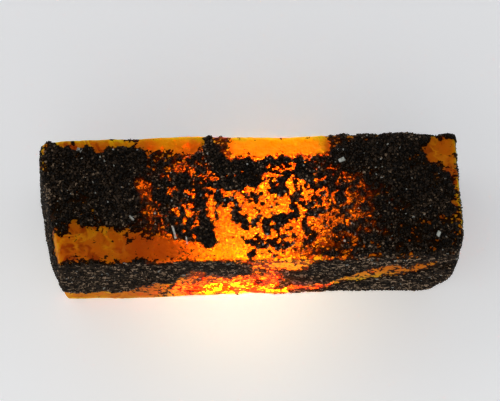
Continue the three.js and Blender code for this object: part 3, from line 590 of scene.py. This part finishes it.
paleFlakes = [
    ((17.2, 6.4, 18.0), 1.1, 0.75, 25),
    ((33.6, -8.2, 18.0), 0.9, 0.6, 60),
    ((-29.8, 9.2, 18.0), 0.9, 0.7, -20),
    ((-20.3, -4.2, 18.05), 1, 0.28, -50),
    ((-12.8, -7.1, 18.05), 2.2, 0.32, -75),
    ((-10.6, -8.6, 17.95), 1.3, 0.2, -82),
]


flakeForm = dict(thickness=0.16, roughness=0.12, seed=8)


def addPaleMica(flakes, form):
    # corners = middle + turn @ (box corner * size), each corner first moved by up to roughness sizes
    random = np.random.default_rng(form["seed"])
    turn = np.radians([flake[3] for flake in flakes])
    cos, sin, zero, one = np.cos(turn), np.sin(turn), np.zeros(len(turn)), np.ones(len(turn))
    spin = np.moveaxis(np.array([[cos, -sin, zero], [sin, cos, zero], [zero, zero, one]]), -1, 0)
    sizes = np.array([(flake[1], flake[2], form["thickness"]) for flake in flakes])
    moves = random.uniform(-form["roughness"], form["roughness"], (len(flakes), 8, 3))
    corners = (chipCorners[None] + moves) * sizes[:, None, :]
    middles = np.array([flake[0] for flake in flakes])
    corners = np.einsum("nij,nkj->nki", spin, corners) + middles[:, None, :]
    polygons = chipSides[None] + 8 * np.arange(len(flakes))[:, None, None]
    piece = addMesh("pale_mica_flakes", corners.reshape(-1, 3), polygons.reshape(-1, 4))
    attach(piece, "root")
    return piece


paleMica = addPaleMica(paleFlakes, flakeForm)


# materials, from nodes that several of them use

def newGroup(name, inputs, outputs):
    # inputs as label, kind and value, and outputs as label and kind
    group = bpy.data.node_groups.new(name, "ShaderNodeTree")
    for label, kind, value in inputs:
        group.interface.new_socket(label, in_out="INPUT", socket_type=kind).default_value = value
    for label, kind in outputs:
        group.interface.new_socket(label, in_out="OUTPUT", socket_type=kind)
    return group, group.nodes.new("NodeGroupInput"), group.nodes.new("NodeGroupOutput")


def addNode(tree, kind, **settings):
    node = tree.nodes.new(kind)
    for label, value in settings.items():
        setattr(node, label, value)
    return node


def link(tree, pairs):
    for source, target in pairs:
        tree.links.new(source, target)


def setInputs(node, values):
    for label, value in values.items():
        node.inputs[label].default_value = value


def feed(tree, socket, value):
    # a socket's value is linked, and a plain value is set
    if isinstance(value, bpy.types.NodeSocket):
        tree.links.new(value, socket)
    else:
        socket.default_value = value


def calculate(tree, operation, *values):
    node = addNode(tree, "ShaderNodeMath", operation=operation)
    for socket, value in zip(node.inputs, values):
        feed(tree, socket, value)
    return node.outputs[0]


def mixColors(tree, mask, first, second):
    # the first colour where the mask is 0, and the second where it is 1
    node = addNode(tree, "ShaderNodeMix", data_type="RGBA")
    for label, value in (("Factor", mask), ("A", first), ("B", second)):
        feed(tree, node.inputs[label], value)
    return node.outputs["Result"]


def addBand(tree, value, low, high):
    # 0 below low, 1 above high, smooth between; turned round where low is over high
    band = addNode(tree, "ShaderNodeMapRange", interpolation_type="SMOOTHSTEP")
    setInputs(band, {"From Min": low, "From Max": high})
    tree.links.new(value, band.inputs["Value"])
    return band.outputs["Result"]


def bandInPlace(tree, value, start, end):
    # a band from start to end in millimetres
    return addBand(tree, value, start * toMetres, end * toMetres)


def patchInPlace(tree, values, starts, ends):
    # the product of two bands in millimetres, which is 1 only where both are
    bands = [bandInPlace(tree, value, start, end) for value, start, end in zip(values, starts, ends)]
    return calculate(tree, "MULTIPLY", *bands)


def cloudGroup():
    # soft clouds: layered noise over Object coordinates, spread by a contrast range to 0 to 1
    numbers = (("Size mm", 4), ("Detail", 4), ("Low", 0.4), ("High", 0.6), ("Warp", 0))
    inputs = [(label, "NodeSocketFloat", value) for label, value in numbers]
    inputs.append(("Stretch", "NodeSocketVector", (1, 1, 1)))
    group, inside, out = newGroup("clouds", inputs, [("Value", "NodeSocketFloat")])
    place = addNode(group, "ShaderNodeTexCoord")
    stretched = addNode(group, "ShaderNodeVectorMath", operation="MULTIPLY")
    noise = addNode(group, "ShaderNodeTexNoise")
    spread = addNode(group, "ShaderNodeMapRange", interpolation_type="SMOOTHSTEP")
    given, ins, maps = inside.outputs, noise.inputs, spread.inputs
    link(group, [
        (calculate(group, "DIVIDE", 1 / toMetres, given["Size mm"]), ins["Scale"]),
        (given["Detail"], ins["Detail"]), (given["Warp"], ins["Distortion"]),
        (place.outputs["Object"], stretched.inputs[0]), (given["Stretch"], stretched.inputs[1]),
        (stretched.outputs[0], ins["Vector"]), (noise.outputs["Fac"], maps["Value"]),
        (given["Low"], maps["From Min"]), (given["High"], maps["From Max"]),
        (spread.outputs["Result"], out.inputs["Value"])])
    return group


clouds = cloudGroup()


def cloudNode(tree, size, detail=4, low=0.4, high=0.6, warp=0.0, stretch=(1, 1, 1)):
    node = addNode(tree, "ShaderNodeGroup", node_tree=clouds)
    for socket, value in zip(node.inputs, (size, detail, low, high, warp, stretch)):
        socket.default_value = value
    return node.outputs["Value"]


def addBump(tree, shader, pattern, strength, height):
    # a fine relief of clouds, its height in millimetres
    bump = addNode(tree, "ShaderNodeBump")
    setInputs(bump, {"Strength": strength, "Distance": height * toMetres})
    tree.links.new(cloudNode(tree, *pattern), bump.inputs["Height"])
    tree.links.new(bump.outputs["Normal"], shader.inputs["Normal"])


def newMaterial(name):
    material = bpy.data.materials.new(name)
    material.use_nodes = True
    return material, material.node_tree, material.node_tree.nodes["Principled BSDF"]


# the stone's looks. Clouds, patches and fibres are the size, detail, contrast range, warp and stretch of
# clouds. A mask is 0 at the first value of a band, or at From, and 1 at the second, or at To; where From and
# To hold two values each, they are for the two ways that the comments below give.
stoneLook = dict(
    # the middle, the painted sparkle of torch light off its x = 6, and the broken facets that it lights
    orange=(0.86, 0.18, 0.002, 1), amber=(0.9, 0.38, 0.003, 1), spark=(1, 0.72, 0.03, 1), middle=6,
    middleClouds=(7, 3, 0.42, 0.62, 0.5), sparksFrom=16, sparksTo=9, lightBand=(0.25, 0.6),
    openBand=(-0.25, -0.05), facetSize=0.85, facetBend=0.5, benderSize=0.8,
    # the flame at the front left, along x and y, and the embers at the right, along x
    flame=(0.74, 0.11, 0.002, 1), flameFrom=(-5, -6.5), flameTo=(-11, -8),
    ember=(0.8, 0.17, 0.002, 1), rightEmber=(9, 16),
    # both ends, along x
    honey=(0.85, 0.19, 0.002, 1), brown=(0.55, 0.065, 0.001, 1), vein=(1, 0.38, 0.004, 1),
    leftHoney=(-19, -25), rightHoney=(30, 34), endClouds=(2.4, 5, 0.45, 0.62, 0.8),
    foldSize=3.8, foldDetail=3, foldWarp=0.6, foldMiddle=0.5, veinBand=(0.06, 0.01),
    veinPatches=(5, 4, 0.38, 0.54),
    # the foot, off the middle and along z, painted yellow with the torch's light, and the rims, off the
    # middle and off y = 0, painted gold with the torch light that comes out there
    foot=(0.95, 0.56, 0.01, 1), footFrom=(24, 12), footTo=(17, 5),
    paintedRimLight=(0.95, 0.52, 0.006, 1), rimFrom=(9, 7), rimTo=(7.5, 8.6),
    # the ember fibres of the front, along y and z
    frontFrom=(-11.4, 16.5), frontTo=(-12, 13), frontFibres=(1.1, 5, 0.47, 0.64, 0.5, (0.4, 1, 1.2)),
    # the stains round the crust and under it, and how much each pattern adds to the cover
    rust=(0.0065, 0.0004, 0.00003, 1), rustBand=(0.42, 0.7), seamBand=(0.26, 0.05), seamShare=0.6,
    stainClouds=(0.55, 3, 0.4, 0.62, 0.6, (0.7, 1, 0.7)), stainShare=0.9,
    black=(0, 0, 0, 1), blackBand=(0.56, 0.64), speckleClouds=(0.5, 3, 0.3, 0.7), speckleShare=0.16,
    # surface and depth
    radius=(6, 7, 2), roughness=0.45, specular=0, specularTint=(0.5, 0.25, 0.05, 1),
    transmission=0.32, ior=1.77, absorption=(0.98, 0.84, 0.04, 1), density=90,
    bumpClouds=(0.6, 5, 0.2, 0.8), bumpStrength=0.7, bumpHeight=0.2)


def brokenFacets(tree, place, look):
    # cells bent by noise: the random value of each cell, and how far a point is from the cell's edge
    bender = addNode(tree, "ShaderNodeTexNoise")
    bender.inputs["Scale"].default_value = 1 / (look["benderSize"] * toMetres)
    bend = addNode(tree, "ShaderNodeVectorMath", operation="MULTIPLY_ADD")
    bend.inputs[1].default_value = [look["facetBend"] * toMetres] * 3
    facets = addNode(tree, "ShaderNodeTexVoronoi")
    seams = addNode(tree, "ShaderNodeTexVoronoi", feature="DISTANCE_TO_EDGE")
    chance = addNode(tree, "ShaderNodeSeparateXYZ")
    for cells in (facets, seams):
        cells.inputs["Scale"].default_value = 1 / (look["facetSize"] * toMetres)
        tree.links.new(bend.outputs[0], cells.inputs["Vector"])
    link(tree, [
        (place, bender.inputs["Vector"]), (bender.outputs["Color"], bend.inputs[0]), (place, bend.inputs[2]),
        (facets.outputs["Color"], chance.inputs[0])])
    return chance.outputs["X"], seams.outputs["Distance"]


def middleColor(tree, x, y, sideways, chance, cover, look):
    # clouds from orange to amber, with a painted sparkle of torch light in the facets of high chance, less
    # where the stone is wide open or away from the middle; then the flame at the front left and the embers
    # at the right
    color = mixColors(tree, cloudNode(tree, *look["middleClouds"]), look["orange"], look["amber"])
    light = addBand(tree, chance, *look["lightBand"])
    light = calculate(tree, "MULTIPLY", light, addBand(tree, cover, *look["openBand"]))
    near = bandInPlace(tree, sideways, look["sparksFrom"], look["sparksTo"])
    # painted highlight: facets near the middle turn yellow as if lit by the torch below
    color = mixColors(tree, calculate(tree, "MULTIPLY", light, near), color, look["spark"])
    toFlame = patchInPlace(tree, (x, y), look["flameFrom"], look["flameTo"])
    color = mixColors(tree, toFlame, color, look["flame"])
    return mixColors(tree, bandInPlace(tree, x, *look["rightEmber"]), color, look["ember"])


def endColor(tree, place, look):
    # honey with brown clouds and, in patches, pale veins: a vein lies where folded noise, which is the
    # distance of the noise from its middle, is near nothing
    color = mixColors(tree, cloudNode(tree, *look["endClouds"]), look["honey"], look["brown"])
    folds = addNode(tree, "ShaderNodeTexNoise")
    scale = 1 / (look["foldSize"] * toMetres)
    setInputs(folds, {"Scale": scale, "Detail": look["foldDetail"], "Distortion": look["foldWarp"]})
    tree.links.new(place, folds.inputs["Vector"])
    folded = calculate(tree, "SUBTRACT", folds.outputs["Fac"], look["foldMiddle"])
    veins = addBand(tree, calculate(tree, "ABSOLUTE", folded), *look["veinBand"])
    veins = calculate(tree, "MULTIPLY", veins, cloudNode(tree, *look["veinPatches"]))
    return mixColors(tree, veins, color, look["vein"])


def addStains(tree, base, seams, cover, look):
    # rust by cover + seams + clouds, and black by cover + speckle
    seams = addBand(tree, seams, *look["seamBand"])
    rusty = calculate(tree, "MULTIPLY_ADD", seams, look["seamShare"], cover)
    rusty = calculate(tree, "MULTIPLY_ADD", cloudNode(tree, *look["stainClouds"]), look["stainShare"], rusty)
    speckle = cloudNode(tree, *look["speckleClouds"])
    dark = calculate(tree, "MULTIPLY_ADD", speckle, look["speckleShare"], cover)
    base = mixColors(tree, addBand(tree, rusty, *look["rustBand"]), base, look["rust"])
    return mixColors(tree, addBand(tree, dark, *look["blackBand"]), base, look["black"])


def stoneMaterial(look):
    material, tree, shader = newMaterial("cloudy_sapphire")
    place = addNode(tree, "ShaderNodeTexCoord").outputs["Object"]
    axes = addNode(tree, "ShaderNodeSeparateXYZ")
    tree.links.new(place, axes.inputs[0])
    x, y, z = axes.outputs
    sideways = calculate(tree, "ABSOLUTE", calculate(tree, "SUBTRACT", x, look["middle"] * toMetres))
    offAxis = calculate(tree, "ABSOLUTE", y)
    cover = addNode(tree, "ShaderNodeAttribute", attribute_name="cover").outputs["Fac"]
    chance, seams = brokenFacets(tree, place, look)
    # the middle, the foot, the ends, the rims and the fibres of the front, each laid over the last; the
    # foot's yellow and the rims' gold are painted torch light
    base = middleColor(tree, x, y, sideways, chance, cover, look)
    # painted light: the foot over the torch is yellow as if lit by it
    toFoot = patchInPlace(tree, (sideways, z), look["footFrom"], look["footTo"])
    base = mixColors(tree, toFoot, base, look["foot"])
    sides = [bandInPlace(tree, x, *look[side]) for side in ("leftHoney", "rightHoney")]
    base = mixColors(tree, calculate(tree, "MAXIMUM", *sides), base, endColor(tree, place, look))
    # painted light: the rims by the middle are gold as if the torch light comes out there
    rimLightMask = patchInPlace(tree, (sideways, offAxis), look["rimFrom"], look["rimTo"])
    base = mixColors(tree, rimLightMask, base, look["paintedRimLight"])
    front = patchInPlace(tree, (y, z), look["frontFrom"], look["frontTo"])
    fibres = calculate(tree, "MULTIPLY", front, cloudNode(tree, *look["frontFibres"]))
    base = mixColors(tree, fibres, base, look["ember"])
    base = addStains(tree, base, seams, cover, look)
    tree.links.new(base, shader.inputs["Base Color"])
    setInputs(shader, {
        "Subsurface Weight": 1, "Subsurface Radius": look["radius"], "Subsurface Scale": toMetres,
        "Roughness": look["roughness"], "IOR": look["ior"], "Specular IOR Level": look["specular"],
        "Specular Tint": look["specularTint"], "Transmission Weight": look["transmission"]})
    addBump(tree, shader, look["bumpClouds"], look["bumpStrength"], look["bumpHeight"])
    absorb = addNode(tree, "ShaderNodeVolumeAbsorption")
    setInputs(absorb, {"Color": look["absorption"], "Density": look["density"]})
    tree.links.new(absorb.outputs["Volume"], tree.nodes["Material Output"].inputs["Volume"])
    return material


# the crust's looks: black, and the other colours over bands of the grains' tone; the glint colour is a
# painted highlight
crustLook = dict(
    black=(0.006, 0.0044, 0.003, 1), olive=(0.055, 0.035, 0.021, 1), oliveBand=(0.35, 0.8),
    grey=(0.48, 0.33, 0.21, 1), greyBand=(0.8, 0.985), paintedGlint=(0.45, 0.45, 0.4, 1), paintedGlintBand=(0.99, 1),
    roughness=0.5, specular=0.1, bumpClouds=(0.2, 3, 0.2, 0.8), bumpStrength=0.4, bumpHeight=0.04)


def crustMaterial(look):
    material, tree, shader = newMaterial("black_mica")
    tone = addNode(tree, "ShaderNodeAttribute", attribute_name="tone").outputs["Fac"]
    base = look["black"]
    for color in ("olive", "grey", "paintedGlint"):
        base = mixColors(tree, addBand(tree, tone, *look[color + "Band"]), base, look[color])
    tree.links.new(base, shader.inputs["Base Color"])
    setInputs(shader, {"Roughness": look["roughness"], "Specular IOR Level": look["specular"]})
    addBump(tree, shader, look["bumpClouds"], look["bumpStrength"], look["bumpHeight"])
    return material


paleLook = dict(
    white=(0.62, 0.64, 0.58, 1), grey=(0.3, 0.31, 0.27, 1), greyClouds=(0.5, 3, 0.35, 0.65), roughness=0.35)


def paleMaterial(look):
    material, tree, shader = newMaterial("pale_mica")
    base = mixColors(tree, cloudNode(tree, *look["greyClouds"]), look["white"], look["grey"])
    tree.links.new(base, shader.inputs["Base Color"])
    shader.inputs["Roughness"].default_value = look["roughness"]
    return material


stone.data.materials.append(stoneMaterial(stoneLook))
blackMica = crustMaterial(crustLook)
for piece in crustPieces:
    piece.data.materials.append(blackMica)
paleMica.data.materials.append(paleMaterial(paleLook))
print("materials: done")


# the floor, the torch and the daylight. Each torch lamp has its x, y place, its x, y size and its power, and
# all are stacked between the floor and the stone.

stage = dict(
    floorColor=(0.84, 0.84, 0.85, 1), floorRoughness=0.8, floorSize=1200, floorZ=-0.06,
    # painted light: the floor's glow, brighter at the front than at the back
    floorLightFront=(0.35, 0.35, 0.35, 1), floorLightBack=(0.28, 0.28, 0.285, 1), floorFrom=-45, floorTo=45,
    torches=(
        ((0, 1.2), (28.6, 24), 4.2),  # broad spot
        ((8.5, 7), (14, 12), 1.9),  # back
        ((0, -6.5), (15, 8.6), 3.6),  # front
        ((20, 1), (12, 12), 0.06),  # faint, right
        ((-15, 6.5), (14, 9), 0.05)),  # faint, left
    torchColor=(1, 0.97, 0.85), torchLift=0.03, torchStep=0.004,
    haloAt=(-1.3, -6), haloRadius=70, haloLift=0.02, haloReach=20, haloPower=1.6, haloBack=6, haloFront=-9,
    haloEmission=(1, 0.83, 0.62, 1),
    overhead=0.06, band=1, bandTop=46, bandSoft=13, acrossReach=0.7,
    leftSky=(1.42, 1.42, 1.4, 1), rightSky=(0.6, 0.63, 0.68, 1))


def addDisc(name, centre, radius, z, rings=24, spokes=72):
    # x = cx + r cos t, y = cy + r sin t, with r stepping evenly from 0 to the radius
    turn = np.linspace(0, 2 * np.pi, spokes, endpoint=False)
    r, t = np.meshgrid(np.linspace(0, radius, rings + 1)[1:], turn, indexing="ij")
    points = np.stack([centre[0] + r * np.cos(t), centre[1] + r * np.sin(t), np.full(r.shape, z)], axis=-1)
    points = np.concatenate([points.reshape(-1, 3), [(centre[0], centre[1], z)]])
    spoke = np.arange(spokes)
    following = (spoke + 1) % spokes
    ring = spokes * np.arange(rings - 1)[:, None]
    quads = [ring + spoke, ring + spokes + spoke, ring + spokes + following, ring + following]
    quads = np.stack(quads, axis=-1).reshape(-1, 4)
    hub = np.stack([np.full(spokes, rings * spokes), spoke, following], axis=-1)
    return addMesh(name, points, np.concatenate([quads[:, [0, 1, 2]], quads[:, [0, 2, 3]], hub]))


def addLamp(name, place, size, power, color):
    # an oval lamp that shines up
    lamp = bpy.data.lights.new(name, "AREA")
    lamp.shape = "ELLIPSE"
    lamp.size = size[0] * toMetres
    lamp.size_y = size[1] * toMetres
    lamp.energy = power
    lamp.color = color
    holder = bpy.data.objects.new(name, lamp)
    holder.location = [part * toMetres for part in place]
    holder.rotation_euler = (math.pi, 0, 0)
    bpy.context.collection.objects.link(holder)


def floorMaterial(name, stage):
    # painted light: the floor glows by itself, from the front colour to the back colour along y, brighter at
    # the front
    material, tree, shader = newMaterial(name)
    setInputs(shader, {
        "Base Color": stage["floorColor"], "Roughness": stage["floorRoughness"], "Emission Strength": 1})
    place = addNode(tree, "ShaderNodeTexCoord").outputs["Object"]
    axes = addNode(tree, "ShaderNodeSeparateXYZ")
    tree.links.new(place, axes.inputs[0])
    backward = bandInPlace(tree, axes.outputs["Y"], stage["floorFrom"], stage["floorTo"])
    glow = mixColors(tree, backward, stage["floorLightFront"], stage["floorLightBack"])
    tree.links.new(glow, shader.inputs["Emission Color"])
    return material, tree, shader, place, axes, glow


def haloMaterial(stage, centre):
    # painted pool of torch light: share = exp(-(distance / reach)^power) * a step towards the front, from
    # the floor's glow to the halo's
    material, tree, shader, place, axes, glow = floorMaterial("torch_halo", stage)
    away = addNode(tree, "ShaderNodeVectorMath", operation="DISTANCE")
    away.inputs[1].default_value = np.array(centre) * toMetres
    tree.links.new(place, away.inputs[0])
    share = calculate(tree, "DIVIDE", away.outputs["Value"], stage["haloReach"] * toMetres)
    share = calculate(tree, "POWER", share, stage["haloPower"])
    share = calculate(tree, "EXPONENT", calculate(tree, "MULTIPLY", share, -1))
    frontward = bandInPlace(tree, axes.outputs["Y"], stage["haloBack"], stage["haloFront"])
    share = calculate(tree, "MULTIPLY", share, frontward)
    tree.links.new(mixColors(tree, share, glow, stage["haloEmission"]), shader.inputs["Emission Color"])
    return material


def addStage(stage):
    half, z = stage["floorSize"] / 2, stage["floorZ"]
    corners = [(-half, -half, z), (half, -half, z), (half, half, z), (-half, half, z)]
    floor = addMesh("floor", corners, [(0, 1, 2, 3)])
    floor.data.materials.append(floorMaterial("pale_floor", stage)[0])
    # the torch's light spreading in the floor before the stone, painted as a glowing disc
    haloZ = z + stage["haloLift"]
    halo = addDisc("torch_halo", stage["haloAt"], stage["haloRadius"], haloZ)
    halo.data.materials.append(haloMaterial(stage, (*stage["haloAt"], haloZ)))
    for number, (place, size, power) in enumerate(stage["torches"]):
        lampZ = z + stage["torchLift"] + stage["torchStep"] * number
        addLamp(f"torch_{number}", (*place, lampZ), size, power, stage["torchColor"])


addStage(stage)


def addDaylight(stage):
    # sky = tint * strength: the tint runs along x, and the strength falls from band to overhead by a
    # smooth step up through the height of the view ray
    world = bpy.data.worlds.new("sky")
    world.use_nodes = True
    tree = world.node_tree
    axes = addNode(tree, "ShaderNodeSeparateXYZ")
    height = addNode(tree, "ShaderNodeMapRange", interpolation_type="SMOOTHSTEP")
    setInputs(height, {
        "From Min": math.sin(math.radians(stage["bandTop"] + stage["bandSoft"])),
        "From Max": math.sin(math.radians(stage["bandTop"] - stage["bandSoft"])),
        "To Min": stage["overhead"], "To Max": stage["band"]})
    across = addNode(tree, "ShaderNodeMapRange")
    setInputs(across, {"From Min": -stage["acrossReach"], "From Max": stage["acrossReach"]})
    tint = mixColors(tree, across.outputs["Result"], stage["leftSky"], stage["rightSky"])
    background = tree.nodes["Background"]
    link(tree, [
        (addNode(tree, "ShaderNodeTexCoord").outputs["Generated"], axes.inputs[0]),
        (axes.outputs["Z"], height.inputs["Value"]), (axes.outputs["X"], across.inputs["Value"]),
        (tint, background.inputs["Color"]), (height.outputs["Result"], background.inputs["Strength"])])
    bpy.context.scene.world = world


addDaylight(stage)
bpy.context.scene.view_settings.view_transform = "Standard"
print("stage: done")
